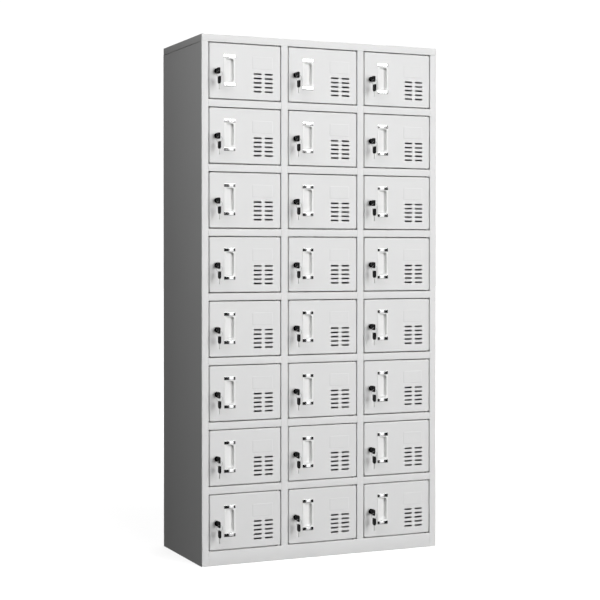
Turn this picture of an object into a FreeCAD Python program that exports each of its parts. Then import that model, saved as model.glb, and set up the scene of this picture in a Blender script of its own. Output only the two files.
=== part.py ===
import FreeCAD
import Part
import os

# Steel locker with inset doors in columns and rows, in millimetres.
# +Z is up, the front faces -Y, and the origin is the middle of the footprint on the floor.

doc = FreeCAD.newDocument("locker")

# Driving dimensions
DIMENSIONS = {
    # whole locker
    "height": 1800,
    "width": 900,
    "depth": 400,
    "columns": 3,
    "rows": 8,
    "sheet_thickness": 0.8,
    # front frame
    "stile_width": 25,
    "mullion_width": 25,
    "rail_height": 25,
    "cap_height": 25,
    "plinth_height": 50,
    "frame_return": 20,
    "frame_lip": 10,
    "panel_flange": 15,
    # door pan
    "door_gap": 3,
    "door_depth": 18,
    "door_lip": 8,
    "door_corner": 5,
    # pivots
    "pivot_inset": 12,
    "pivot_setback": 5,
    "pin_diameter": 5,
    "pin_clearance": 0.05,
    "pin_engagement": 6,
    "pin_anchor": 8,
    "collar_diameter": 8,
    "collar_clearance": 0.1,
    # door stop tab
    "stop_reach": 8,
    "stop_height": 20,
    "stop_drop": 20,
    "stop_thickness": 1.5,
    "stop_clearance": 0.3,
    # vent slots
    "vent_left": 161,
    "vent_bottom": 26.2,
    "vent_length": 29.5,
    "vent_height": 5.6,
    "vent_column_pitch": 41.3,
    "vent_row_pitch": 15,
    "vent_columns": 2,
    "vent_rows": 5,
    # pressed card field
    "card_left": 157,
    "card_bottom": 106,
    "card_width": 74,
    "card_height": 42,
    "card_relief": 0.4,
    # recessed handle
    "handle_left": 52.5,
    "handle_bottom": 43,
    "handle_width": 40.5,
    "handle_height": 108,
    "handle_depth": 16,
    "handle_wall": 1.6,
    "handle_lap": 2,
    "handle_proud": 1.2,
    "handle_fit": 0.2,
    "scoop_floor": 8,
    "scoop_corner": 8,
    "grip_reach": 1,
    "grip_thickness": 2.4,
    "handle_cap_height": 12,
    "handle_cap_proud": 3,
    "handle_cap_round": 2.4,
    # lock case
    "lock_inset": 25,
    "lock_height": 92,
    "bezel_diameter": 22,
    "bezel_face_diameter": 18,
    "bezel_thickness": 3,
    "barrel_diameter": 18,
    "barrel_length": 20,
    "barrel_fit": 0.2,
    "nut_width": 24,
    "nut_thickness": 4,
    "thread_clearance": 0.05,
    # plug, cam and screw
    "plug_diameter": 12,
    "plug_clearance": 0.05,
    "plug_proud": 0.5,
    "cam_gap": 1,
    "cam_thickness": 2,
    "cam_width": 14,
    "cam_reach": 35,
    "tenon_size": 6,
    "tenon_clearance": 0.1,
    "screw_diameter": 4,
    "screw_length": 6,
    "screw_head_diameter": 9,
    "screw_head_height": 2.5,
    # key
    "blade_thickness": 2,
    "blade_width": 7,
    "blade_insert": 11,
    "blade_clearance": 0.1,
    "key_neck": 5,
    "bow_length": 25,
    "bow_width": 19,
    "bow_neck_width": 10,
    "bow_thickness": 5,
    "bow_corner": 3,
    "ring_hole_diameter": 3,
    "ring_hole_edge": 2.5,
    # reach of every cutter past the face it cuts through
    "overrun": 1,
}

# Places and sizes that follow from the driving dimensions
LAYOUT = {
    "front": "=-dims.depth / 2",
    "frame_back": "=-dims.depth / 2 + dims.frame_return",
    "back_inner": "=dims.depth / 2 - 2 * dims.sheet_thickness",
    "side_inner": "=dims.width / 2 - dims.sheet_thickness",
    "carcass_top": "=dims.height - dims.cap_height",
    "opening_width": "=(dims.width - 2 * dims.stile_width - (dims.columns - 1) * dims.mullion_width)"
                     " / dims.columns",
    "opening_height": "=(dims.height - dims.cap_height - dims.plinth_height"
                      " - (dims.rows - 1) * dims.rail_height) / dims.rows",
    "column_pitch": "=opening_width + dims.mullion_width",
    "row_pitch": "=opening_height + dims.rail_height",
    "first_left": "=-dims.width / 2 + dims.stile_width",
    "door_width": "=opening_width - 2 * dims.door_gap",
    "door_height": "=opening_height - 2 * dims.door_gap",
    "plug_end": "=dims.barrel_length + dims.cam_gap",
    "plug_face": "=-dims.bezel_thickness - dims.plug_proud",
    "handle_right": "=dims.handle_left + dims.handle_width",
    "handle_top": "=dims.handle_bottom + dims.handle_height",
    "well_left": "=dims.handle_left + dims.handle_lap + dims.handle_wall",
    "well_right": "=handle_right - dims.handle_lap - dims.handle_wall",
    "well_bottom": "=dims.handle_bottom + dims.handle_cap_height",
    "well_top": "=handle_top - dims.handle_cap_height",
    "mouth_right": "=well_right - dims.grip_reach",
}


def fill_sheet(name, cells):
    """A spreadsheet with one named value on each row."""
    sheet = doc.addObject("Spreadsheet::Sheet", name)
    for row, (alias, value) in enumerate(cells.items(), start=1):
        sheet.set(f"A{row}", alias)
        sheet.set(f"B{row}", str(value))
        sheet.setAlias(f"B{row}", alias)
    doc.recompute()
    return sheet


dims = fill_sheet("dims", DIMENSIONS)
layout = fill_sheet("layout", LAYOUT)
COLUMNS = range(int(dims.columns))
ROWS = range(int(dims.rows))


def bind(item, sizes):
    for path, value in sizes.items():
        item.setExpression(path, value)
    return item


def box(name, low, high):
    """A block between two corners, each corner given as three expressions."""
    block = doc.addObject("Part::Box", name)
    for side, axis, start, end in zip(("Length", "Width", "Height"), "xyz", low, high):
        bind(block, {side: f"({end}) - ({start})", f"Placement.Base.{axis}": start})
    return block


ALONG_Y = FreeCAD.Rotation(FreeCAD.Vector(1, 0, 0), -90)
ALONG_X = FreeCAD.Rotation(FreeCAD.Vector(0, 1, 0), 90)
ALONG_Z = FreeCAD.Rotation()


def round_bar(name, start, length, diameter, turn=ALONG_Z):
    """A cylinder from a start point, given as three expressions, along the turned axis."""
    bar = doc.addObject("Part::Cylinder", name)
    bar.Placement = FreeCAD.Placement(FreeCAD.Vector(), turn)
    bind(bar, {"Radius": f"({diameter}) / 2", "Height": length})
    return bind(bar, {f"Placement.Base.{axis}": value for axis, value in zip("xyz", start)})


def fuse(name, pieces):
    whole = doc.addObject("Part::MultiFuse", name)
    whole.Shapes = pieces
    whole.Refine = True
    return whole


def cut(name, base, tools):
    rest = doc.addObject("Part::Cut", name)
    rest.Base = base
    rest.Tool = tools[0] if len(tools) == 1 else fuse(name + "_cutters", tools)
    rest.Refine = True
    return rest


def rounded(name, base, radius, wanted):
    """A copy of base with the edges that wanted picks rounded to radius."""
    doc.recompute()
    edges = enumerate(base.Shape.Edges, start=1)
    result = doc.addObject("Part::Fillet", name)
    result.Base = base
    result.Edges = [(index, radius, radius) for index, edge in edges if wanted(edge)]
    return result


def runs_along(edge, axis):
    direction = edge.Vertexes[-1].Point - edge.Vertexes[0].Point
    return direction.Length > 0 and abs(direction.normalize().dot(axis)) > 1 - edge.Tolerance


X_AXIS = FreeCAD.Vector(1, 0, 0)
Y_AXIS = FreeCAD.Vector(0, 1, 0)

nodes = []


def node(name, piece):
    """Marks an object as a sub-part and names its file."""
    piece.Label = name
    nodes.append(piece)
    return piece


def group(name, pieces, place=None):
    """One sub-part made of separate solids, moved to its place."""
    whole = doc.addObject("Part::Compound", name + "_group")
    whole.Links = pieces
    if place:
        bind(whole, {f"Placement.Base.{axis}": value for axis, value in zip("xyz", place)})
    return node(name, whole)


def opening_left(column):
    return f"layout.first_left + {column} * layout.column_pitch"


def opening_bottom(row):
    """Row 0 is the top row."""
    return f"dims.plinth_height + (dims.rows - 1 - {row}) * layout.row_pitch"


SHEET = "dims.sheet_thickness"
FRONT = "layout.front"
SKIN = f"{FRONT} + {SHEET}"
RETURN_BACK = "layout.frame_back"
TOP = "layout.carcass_top"

# Left side panel: folded sheet with three flanges, and the stile channel welded to its front edge
OUTSIDE = "-dims.width / 2"
INSIDE = "-layout.side_inner"
STILE_EDGE = "layout.first_left"
FLANGE_EDGE = f"{OUTSIDE} + dims.panel_flange"
PLATE_BACK = f"layout.back_inner + {SHEET}"
FOLD_RELIEF = f"{RETURN_BACK} + {SHEET}"
plate_folds = {
    "plate": ((OUTSIDE, SKIN, "0"), (INSIDE, PLATE_BACK, TOP)),
    "back_flange": ((OUTSIDE, "layout.back_inner", "0"), (FLANGE_EDGE, PLATE_BACK, TOP)),
    "foot_flange": ((OUTSIDE, FOLD_RELIEF, "0"), (FLANGE_EDGE, PLATE_BACK, SHEET)),
    "top_flange": ((OUTSIDE, FOLD_RELIEF, f"{TOP} - {SHEET}"), (FLANGE_EDGE, PLATE_BACK, TOP)),
}
stile_folds = {
    "face": ((OUTSIDE, FRONT, "0"), (STILE_EDGE, SKIN, TOP)),
    "weld_leg": ((INSIDE, FRONT, "0"), (f"{INSIDE} + {SHEET}", RETURN_BACK, TOP)),
    "return": ((f"{STILE_EDGE} - {SHEET}", FRONT, "0"), (STILE_EDGE, RETURN_BACK, TOP)),
    "lip": ((f"{STILE_EDGE} - dims.frame_lip", f"{RETURN_BACK} - {SHEET}", "0"),
            (STILE_EDGE, RETURN_BACK, TOP)),
}


def folded(name, folds):
    return fuse(name, [box(f"{name}_{fold}", low, high) for fold, (low, high) in folds.items()])


side_pieces = [folded("side_sheet", plate_folds), folded("stile", stile_folds)]
left_side = group("left_side_panel", side_pieces)

# Right side panel: the left one mirrored
right_side = doc.addObject("Part::Mirroring", "right_side")
right_side.Source = left_side
right_side.Normal = X_AXIS
node("right_side_panel", right_side)

# Back panel: flat sheet over the back flanges, from the floor to the cap
back_panel = box("back_sheet", (OUTSIDE, PLATE_BACK, "0"), ("dims.width / 2", "dims.depth / 2", TOP))
node("back_panel", back_panel)

# Top cap: lid tray whose front flange is the top rail, with lips that lie on the panels below
cap_outer = box("cap_outer", (OUTSIDE, FRONT, TOP), ("dims.width / 2", "dims.depth / 2", "dims.height"))
cap_hollow = box(
    "cap_hollow",
    (INSIDE, SKIN, f"{TOP} + {SHEET}"),
    ("layout.side_inner", f"dims.depth / 2 - {SHEET}", f"dims.height - {SHEET}"),
)
cap_mouth = box(
    "cap_mouth",
    (FLANGE_EDGE, RETURN_BACK, f"{TOP} - dims.overrun"),
    ("dims.width / 2 - dims.panel_flange", f"dims.depth / 2 - {SHEET}", f"{TOP} + {SHEET} + dims.overrun"),
)

# Plinth panel: channel between the stiles that carries the lowest pivots
plinth_outer = box(
    "plinth_outer",
    (STILE_EDGE, FRONT, "0"),
    (f"-({STILE_EDGE})", RETURN_BACK, "dims.plinth_height"),
)
plinth_hollow = box(
    "plinth_hollow",
    (STILE_EDGE, SKIN, SHEET),
    (f"-({STILE_EDGE})", f"{RETURN_BACK} + dims.overrun", f"dims.plinth_height - {SHEET}"),
)

# Bottom panel: floor of the lowest row, an upturned tray between the side panels
floor_outer = box(
    "floor_outer",
    (INSIDE, RETURN_BACK, "dims.plinth_height - dims.panel_flange"),
    ("layout.side_inner", "layout.back_inner", "dims.plinth_height"),
)
floor_hollow = box(
    "floor_hollow",
    (f"{INSIDE} + {SHEET}", f"{RETURN_BACK} + {SHEET}",
     "dims.plinth_height - dims.panel_flange - dims.overrun"),
    (f"layout.side_inner - {SHEET}", f"layout.back_inner - {SHEET}", f"dims.plinth_height - {SHEET}"),
)
node("bottom_panel", cut("bottom_tray", floor_outer, [floor_hollow]))


# Partitions and mullions: an upright sheet between two columns and the box-section post in front of it
def partition_middle(column):
    """Middle of the post on the right of a column."""
    return f"layout.first_left + {column + 1} * layout.column_pitch - dims.mullion_width / 2"


partitions = []
mullions = []
for column in COLUMNS[:-1]:
    middle = partition_middle(column)
    low = (f"{middle} - {SHEET} / 2", RETURN_BACK, "dims.plinth_height")
    high = (f"{middle} + {SHEET} / 2", "layout.back_inner", f"dims.height - {SHEET}")
    partitions.append(box(f"partition_{column}", low, high))
    post_left = f"{middle} - dims.mullion_width / 2"
    post_right = f"{middle} + dims.mullion_width / 2"
    post = box(f"post_{column}", (post_left, FRONT, "dims.plinth_height"), (post_right, RETURN_BACK, TOP))
    bore = box(
        f"post_bore_{column}",
        (f"{post_left} + {SHEET}", SKIN, "dims.plinth_height - dims.overrun"),
        (f"{post_right} - {SHEET}", f"{RETURN_BACK} - {SHEET}", f"{TOP} + dims.overrun"),
    )
    mullions.append(cut(f"mullion_{column}", post, [bore]))
group("partitions", partitions)
group("mullions", mullions)


# Pivots stand on one upright axis near the right edge of each column's doors
def pivot(column):
    across = f"{opening_left(column)} + layout.opening_width - dims.door_gap - dims.pivot_inset"
    return across, f"{FRONT} + dims.pivot_setback"


PIN_HOLE = "dims.pin_diameter + 2 * dims.pin_clearance"


def pivot_hole(name, column, low, high):
    across, back = pivot(column)
    return round_bar(name, (across, back, low), f"({high}) - ({low})", PIN_HOLE)


# Cross rails: channels between the doors of a column, drilled for the pivots
cross_rails = []
for column in COLUMNS:
    left = opening_left(column)
    right = f"{left} + layout.opening_width"
    for row in ROWS[:-1]:
        upper = opening_bottom(row)
        lower = f"{upper} - dims.rail_height"
        tag = f"{row}_{column}"
        bar = box(f"rail_bar_{tag}", (left, FRONT, lower), (right, RETURN_BACK, upper))
        hollow = box(
            f"rail_hollow_{tag}",
            (left, SKIN, f"{lower} + {SHEET}"),
            (right, f"{RETURN_BACK} + dims.overrun", f"{upper} - {SHEET}"),
        )
        hole = pivot_hole(f"rail_hole_{tag}", column, f"{lower} - dims.overrun", f"{upper} + dims.overrun")
        cross_rails.append(cut(f"rail_{tag}", bar, [hollow, hole]))
group("cross_rails", cross_rails)

# The cap's lip and the plinth's top are drilled for the end pivots
cap_holes = [
    pivot_hole(f"cap_hole_{column}", column, f"{TOP} - dims.overrun", f"{TOP} + {SHEET} + dims.overrun")
    for column in COLUMNS
]
node("top_cap", cut("cap", cap_outer, [cap_hollow, cap_mouth] + cap_holes))
plinth_holes = [
    pivot_hole(
        f"plinth_hole_{column}",
        column,
        f"dims.plinth_height - {SHEET} - dims.overrun",
        "dims.plinth_height + dims.overrun",
    )
    for column in COLUMNS
]
node("plinth_panel", cut("plinth", plinth_outer, [plinth_hollow] + plinth_holes))


# Shelves: folded trays behind the rails, level with the rails' tops
def bay_left(column):
    return INSIDE if column == 0 else f"{partition_middle(column - 1)} + {SHEET} / 2"


def bay_right(column):
    return "layout.side_inner" if column == COLUMNS[-1] else f"{partition_middle(column)} - {SHEET} / 2"


shelves = []
for column in COLUMNS:
    for row in ROWS[:-1]:
        tag = f"{row}_{column}"
        level = opening_bottom(row)
        tray = box(
            f"tray_{tag}",
            (bay_left(column), RETURN_BACK, f"{level} - dims.panel_flange"),
            (bay_right(column), "layout.back_inner", level),
        )
        under = box(
            f"tray_under_{tag}",
            (f"{bay_left(column)} + {SHEET}", f"{RETURN_BACK} + {SHEET}",
             f"{level} - dims.panel_flange - dims.overrun"),
            (f"{bay_right(column)} - {SHEET}", f"layout.back_inner - {SHEET}", f"{level} - {SHEET}"),
        )
        shelves.append(cut(f"shelf_{tag}", tray, [under]))
group("shelves", shelves)

# Hinge pins: each runs through a rail into the doors above and below, with a collar under the upper door
REACH = f"(dims.door_gap + {SHEET} + dims.pin_engagement)"
COLLAR = "dims.door_gap - dims.collar_clearance"
hinge_pins = []
for column in COLUMNS:
    across, back = pivot(column)
    for seam in range(len(ROWS) + 1):
        tag = f"{seam}_{column}"
        under_cap = seam == 0
        on_plinth = seam == len(ROWS)
        seat = TOP if under_cap else opening_bottom(seam - 1)
        low = f"{seat} - dims.pin_anchor" if on_plinth else f"{seat} - dims.rail_height - {REACH}"
        low = f"{TOP} - {REACH}" if under_cap else low
        high = f"{TOP} + dims.pin_anchor" if under_cap else f"{seat} + {REACH}"
        collar_base = f"{TOP} + {SHEET}" if under_cap else seat
        shaft = round_bar(f"pin_shaft_{tag}", (across, back, low), f"({high}) - ({low})", "dims.pin_diameter")
        collar = round_bar(f"pin_collar_{tag}", (across, back, collar_base), COLLAR, "dims.collar_diameter")
        hinge_pins.append(fuse(f"pin_{tag}", [shaft, collar]))
group("hinge_pins", hinge_pins)

# Door stops: tabs on the free side of each opening, just behind the closed door
STOP_FRONT = f"{FRONT} + dims.door_depth + dims.stop_clearance"
door_stops = []
for column in COLUMNS:
    for row in ROWS:
        stop_top = f"{opening_bottom(row)} + layout.opening_height - dims.stop_drop"
        low = (opening_left(column), STOP_FRONT, f"{stop_top} - dims.stop_height")
        high = (f"{opening_left(column)} + dims.stop_reach", f"{STOP_FRONT} + dims.stop_thickness", stop_top)
        door_stops.append(box(f"stop_{row}_{column}", low, high))
group("door_stops", door_stops)


# Door pieces are drawn once from the lower left corner of the door's face, then placed in every opening
def crosswise(edge):
    return runs_along(edge, Y_AXIS)


# Door pan: folded sheet, with its edges turned back and in again
pan_block = box("pan_block", ("0", "0", "0"), ("layout.door_width", "dims.door_depth", "layout.door_height"))
pan_outer = rounded("pan_outer", pan_block, dims.door_corner, crosswise)
pan_hollow = box(
    "pan_hollow",
    (SHEET, SHEET, SHEET),
    (f"layout.door_width - {SHEET}", f"dims.door_depth - {SHEET}", f"layout.door_height - {SHEET}"),
)
pan_room = rounded("pan_room", pan_hollow, dims.door_corner - dims.sheet_thickness, crosswise)
pan_mouth = box(
    "pan_mouth",
    ("dims.door_lip", f"dims.door_depth - {SHEET} - dims.overrun", "dims.door_lip"),
    ("layout.door_width - dims.door_lip", "dims.door_depth + dims.overrun",
     "layout.door_height - dims.door_lip"),
)
vent_cutters = []
for column in range(int(dims.vent_columns)):
    for row in range(int(dims.vent_rows)):
        tag = f"{row}_{column}"
        left = f"dims.vent_left + {column} * dims.vent_column_pitch"
        low = f"dims.vent_bottom + {row} * dims.vent_row_pitch"
        middle = f"{low} + dims.vent_height / 2"
        round_inset = "dims.vent_height / 2"
        vent_cutters.append(box(
            f"vent_{tag}",
            (f"{left} + {round_inset}", "-dims.overrun", low),
            (f"{left} + dims.vent_length - {round_inset}", f"{SHEET} + dims.overrun",
             f"{low} + dims.vent_height"),
        ))
        for end in (round_inset, f"dims.vent_length - {round_inset}"):
            vent_cutters.append(round_bar(
                f"vent_end_{tag}_{len(vent_cutters)}",
                (f"{left} + {end}", "-dims.overrun", middle),
                f"{SHEET} + 2 * dims.overrun",
                "dims.vent_height",
                ALONG_Y,
            ))
handle_hole = box(
    "handle_hole",
    ("dims.handle_left + dims.handle_lap - dims.handle_fit", "-dims.overrun",
     "layout.well_bottom - dims.handle_wall - dims.handle_fit"),
    ("layout.handle_right - dims.handle_lap + dims.handle_fit", f"{SHEET} + dims.overrun",
     "layout.well_top + dims.handle_wall + dims.handle_fit"),
)
lock_hole = round_bar(
    "lock_hole",
    ("dims.lock_inset", "-dims.overrun", "dims.lock_height"),
    f"{SHEET} + 2 * dims.overrun",
    "dims.barrel_diameter + 2 * dims.barrel_fit",
    ALONG_Y,
)
pan_pivots = round_bar(
    "pan_pivots",
    ("layout.door_width - dims.pivot_inset", "dims.pivot_setback", "-dims.overrun"),
    "layout.door_height + 2 * dims.overrun",
    PIN_HOLE,
)
pan_sheet = cut(
    "pan_sheet",
    pan_outer,
    [pan_room, pan_mouth, handle_hole, lock_hole, pan_pivots] + vent_cutters,
)
card_field = box(
    "card_field",
    ("dims.card_left", "-dims.card_relief", "dims.card_bottom"),
    ("dims.card_left + dims.card_width", SHEET, "dims.card_bottom + dims.card_height"),
)
door_pan = fuse("door_pan", [pan_sheet, card_field])

# Handle cup: moulded scoop let into the door, whose floor falls to the right and ends behind a grip lip
CUP_LEFT = "dims.handle_left + dims.handle_lap"
CUP_RIGHT = "layout.handle_right - dims.handle_lap"
WELL_BACK = "dims.handle_depth - dims.handle_wall"
FLOOR_LEFT = "layout.mouth_right - dims.scoop_floor"


def scoop(name, front, back, low, high):
    """A block from low to high whose left side slopes, given as depth, left and right at front and back."""
    return bind(doc.addObject("Part::Wedge", name), {
        "Ymin": front[0],
        "Xmin": front[1],
        "Xmax": front[2],
        "Ymax": back[0],
        "X2min": back[1],
        "X2max": back[2],
        "Zmin": low,
        "Zmax": high,
        "Z2min": low,
        "Z2max": high,
    })


cup_rim = box(
    "cup_rim",
    ("dims.handle_left", "-dims.handle_proud", "layout.well_bottom"),
    ("layout.handle_right", "0", "layout.well_top"),
)
cup_body = scoop(
    "cup_body",
    ("0", CUP_LEFT, CUP_RIGHT),
    ("dims.handle_depth", f"{FLOOR_LEFT} - dims.handle_wall", CUP_RIGHT),
    "layout.well_bottom - dims.handle_wall",
    "layout.well_top + dims.handle_wall",
)
well_block = scoop(
    "well_block",
    ("-dims.handle_proud - dims.overrun", "layout.well_left", "layout.mouth_right"),
    (WELL_BACK, FLOOR_LEFT, "layout.mouth_right"),
    "layout.well_bottom",
    "layout.well_top",
)
cup_well = rounded("cup_well", well_block, dims.scoop_corner, crosswise)
grip_block = box(
    "grip_block",
    (FLOOR_LEFT, "dims.grip_thickness - dims.handle_proud", "layout.well_bottom"),
    ("layout.well_right", WELL_BACK, "layout.well_top"),
)
grip_room = rounded(
    "grip_room",
    grip_block,
    dims.scoop_corner,
    lambda edge: crosswise(edge) and edge.CenterOfMass.x > layout.mouth_right,
)
handle_cup = cut("handle_cup", fuse("cup_block", [cup_rim, cup_body]), [cup_well, grip_room])


# Handle end caps: plated blocks on the door face above and below the well, rounded in front
def handle_cap(name, low):
    block = box(
        name + "_block",
        ("dims.handle_left", "-dims.handle_cap_proud", low),
        ("layout.handle_right", "0", f"{low} + dims.handle_cap_height"),
    )
    return rounded(
        name,
        block,
        dims.handle_cap_round,
        lambda edge: runs_along(edge, X_AXIS) and edge.CenterOfMass.y < 0,
    )


handle_caps = [
    handle_cap("handle_cap_low", "dims.handle_bottom"),
    handle_cap("handle_cap_high", "layout.well_top"),
]

# Lock case: bezel in front of the door and threaded barrel through it, bored for the plug
bezel = doc.addObject("Part::Cone", "bezel")
bezel.Placement = FreeCAD.Placement(FreeCAD.Vector(), ALONG_Y)
bind(bezel, {
    "Radius1": "dims.bezel_face_diameter / 2",
    "Radius2": "dims.bezel_diameter / 2",
    "Height": "dims.bezel_thickness",
    "Placement.Base.x": "dims.lock_inset",
    "Placement.Base.y": "-dims.bezel_thickness",
    "Placement.Base.z": "dims.lock_height",
})
LOCK_AXIS = ("dims.lock_inset", "0", "dims.lock_height")
barrel = round_bar("barrel", LOCK_AXIS, "dims.barrel_length", "dims.barrel_diameter", ALONG_Y)
plug_bore = round_bar(
    "plug_bore",
    ("dims.lock_inset", "-dims.bezel_thickness - dims.overrun", "dims.lock_height"),
    "dims.bezel_thickness + dims.barrel_length + 2 * dims.overrun",
    "dims.plug_diameter + 2 * dims.plug_clearance",
    ALONG_Y,
)
lock_case = cut("lock_case", fuse("case_block", [bezel, barrel]), [plug_bore])

# Lock nut: hexagon that clamps the case to the back of the door sheet
nut_block = doc.addObject("Part::Prism", "nut_block")
nut_block.Polygon = 6
nut_block.Placement = FreeCAD.Placement(FreeCAD.Vector(), ALONG_Y)
bind(nut_block, {
    "Circumradius": "dims.nut_width / sqrt(3)",
    "Height": "dims.nut_thickness",
    "Placement.Base.x": "dims.lock_inset",
    "Placement.Base.y": SHEET,
    "Placement.Base.z": "dims.lock_height",
})
nut_bore = round_bar(
    "nut_bore",
    LOCK_AXIS,
    f"{SHEET} + dims.nut_thickness + dims.overrun",
    "dims.barrel_diameter + 2 * dims.thread_clearance",
    ALONG_Y,
)
lock_nut = cut("lock_nut", nut_block, [nut_bore])

door_pieces = [door_pan, handle_cup] + handle_caps + [lock_case, lock_nut]

# Lock pieces are drawn on the lock's axis from the door's face, with the key and the cam upright
FACE = "layout.plug_face"
END = "layout.plug_end"

# Plug: turns in the case, with a keyway in front and a square tenon for the cam behind
plug_bar = round_bar("plug_bar", ("0", FACE, "0"), f"{END} - {FACE}", "dims.plug_diameter", ALONG_Y)
tenon = box(
    "tenon",
    ("-dims.tenon_size / 2", END, "-dims.tenon_size / 2"),
    ("dims.tenon_size / 2", f"{END} + dims.cam_thickness", "dims.tenon_size / 2"),
)
keyway = box(
    "keyway",
    ("-dims.blade_thickness / 2 - dims.blade_clearance", f"{FACE} - dims.overrun",
     "-dims.blade_width / 2 - dims.blade_clearance"),
    ("dims.blade_thickness / 2 + dims.blade_clearance", f"{FACE} + dims.blade_insert + dims.blade_clearance",
     "dims.blade_width / 2 + dims.blade_clearance"),
)
SCREW_SEAT = f"{END} + dims.cam_thickness"
screw_hole = round_bar(
    "screw_hole",
    ("0", f"{SCREW_SEAT} - dims.screw_length", "0"),
    "dims.screw_length + dims.overrun",
    "dims.screw_diameter + 2 * dims.thread_clearance",
    ALONG_Y,
)
plug = cut("plug", fuse("plug_block", [plug_bar, tenon]), [keyway, screw_hole])

# Cam: strip with a round head on the tenon, hanging down until the key is turned
cam_head = round_bar("cam_head", ("0", END, "0"), "dims.cam_thickness", "dims.cam_width", ALONG_Y)
cam_arm = box(
    "cam_arm",
    ("-dims.cam_width / 2", END, "-dims.cam_reach"),
    ("dims.cam_width / 2", SCREW_SEAT, "0"),
)
cam_hole = box(
    "cam_hole",
    ("-dims.tenon_size / 2 - dims.tenon_clearance", f"{END} - dims.overrun",
     "-dims.tenon_size / 2 - dims.tenon_clearance"),
    ("dims.tenon_size / 2 + dims.tenon_clearance", f"{SCREW_SEAT} + dims.overrun",
     "dims.tenon_size / 2 + dims.tenon_clearance"),
)
cam = cut("cam", fuse("cam_strip", [cam_head, cam_arm]), [cam_hole])

# Cam screw: holds the cam on the tenon
screw_head = round_bar("screw_head", ("0", SCREW_SEAT, "0"), "dims.screw_head_height",
                       "dims.screw_head_diameter", ALONG_Y)
screw_shank = round_bar("screw_shank", ("0", f"{SCREW_SEAT} - dims.screw_length", "0"), "dims.screw_length",
                        "dims.screw_diameter", ALONG_Y)
cam_screw = fuse("cam_screw", [screw_head, screw_shank])

# Key: flat blade in the keyway and a moulded bow that widens away from the lock
BOW_NEAR = f"({FACE} - dims.key_neck)"
key_blade = box(
    "key_blade",
    ("-dims.blade_thickness / 2", BOW_NEAR, "-dims.blade_width / 2"),
    ("dims.blade_thickness / 2", f"{FACE} + dims.blade_insert", "dims.blade_width / 2"),
)
bow_block = bind(doc.addObject("Part::Wedge", "bow_block"), {
    "Xmin": "-dims.bow_thickness / 2",
    "Xmax": "dims.bow_thickness / 2",
    "X2min": "-dims.bow_thickness / 2",
    "X2max": "dims.bow_thickness / 2",
    "Ymin": f"{BOW_NEAR} - dims.bow_length",
    "Ymax": BOW_NEAR,
    "Zmin": "-dims.bow_width / 2",
    "Zmax": "dims.bow_width / 2",
    "Z2min": "-dims.bow_neck_width / 2",
    "Z2max": "dims.bow_neck_width / 2",
})
bow_round = rounded("bow_round", bow_block, dims.bow_corner, lambda edge: runs_along(edge, X_AXIS))
ring_hole = round_bar(
    "ring_hole",
    ("-dims.bow_thickness / 2 - dims.overrun",
     f"{BOW_NEAR} - dims.bow_length + dims.ring_hole_edge + dims.ring_hole_diameter / 2", "0"),
    "dims.bow_thickness + 2 * dims.overrun",
    "dims.ring_hole_diameter",
    ALONG_X,
)
key_bow = cut("key_bow", bow_round, [ring_hole])

lock_pieces = [plug, cam, cam_screw, key_blade, key_bow]

# A door and a lock in every opening
for row in ROWS:
    for column in COLUMNS:
        across = f"{opening_left(column)} + dims.door_gap"
        up = f"{opening_bottom(row)} + dims.door_gap"
        spot = f"r{row + 1}c{column + 1}"
        group(f"door_{spot}", door_pieces, (across, FRONT, up))
        group(f"lock_{spot}", lock_pieces, (f"{across} + dims.lock_inset", FRONT, f"{up} + dims.lock_height"))

doc.recompute()

# Nothing is written unless every piece came out whole
for item in doc.Objects:
    if "Invalid" in item.State or "Error" in item.State:
        raise RuntimeError(f"{item.Name} failed: {item.State}")
for piece in nodes:
    if piece.Shape.isNull() or not piece.Shape.isValid() or not piece.Shape.Solids:
        raise RuntimeError(f"{piece.Label} has no valid solid")

os.makedirs("parts", exist_ok=True)
for piece in nodes:
    piece.Shape.exportStep(f"parts/{piece.Label}.step")
print(f"{len(nodes)} sub-parts written")
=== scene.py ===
import math

import bmesh
import bpy
from mathutils import Matrix, Vector


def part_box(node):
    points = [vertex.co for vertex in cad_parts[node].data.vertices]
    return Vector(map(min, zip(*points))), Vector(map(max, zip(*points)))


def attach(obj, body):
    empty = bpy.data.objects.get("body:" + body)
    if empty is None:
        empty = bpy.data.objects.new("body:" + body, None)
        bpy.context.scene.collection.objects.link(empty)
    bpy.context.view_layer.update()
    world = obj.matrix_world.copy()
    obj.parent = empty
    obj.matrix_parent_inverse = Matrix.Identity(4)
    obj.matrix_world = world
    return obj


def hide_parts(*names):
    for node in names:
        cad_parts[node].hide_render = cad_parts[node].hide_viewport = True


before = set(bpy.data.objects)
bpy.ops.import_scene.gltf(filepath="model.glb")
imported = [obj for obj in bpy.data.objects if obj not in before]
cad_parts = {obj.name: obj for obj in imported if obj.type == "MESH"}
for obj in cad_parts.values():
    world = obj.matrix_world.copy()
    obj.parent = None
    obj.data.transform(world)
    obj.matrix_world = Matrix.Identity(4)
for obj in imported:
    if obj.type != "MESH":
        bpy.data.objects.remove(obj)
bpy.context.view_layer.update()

# Side panels
# Each is a sheet of mild steel with flanges folded at the back, the foot and the top. The stile in front
# is a folded channel, welded to the sheet and ground flush. The whole locker is powder coated light grey.
MM = 0.001
SHEET = 0.8 * MM
FOLD_RADIUS = 1.3 * MM
CORNER_RADIUS = 2.4 * MM
FOLD_STEPS = 6
RIGHT_ANGLE = math.pi / 2
SMOOTH_BELOW = math.radians(35)

left_low, left_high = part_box("left_side_panel")
FRONT = left_low.y
FRAME_DEPTH = 20 * MM
FRAME_LIP = 10 * MM
PANEL_FLANGE = 15 * MM
FRAME_BACK = FRONT + FRAME_DEPTH


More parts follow.
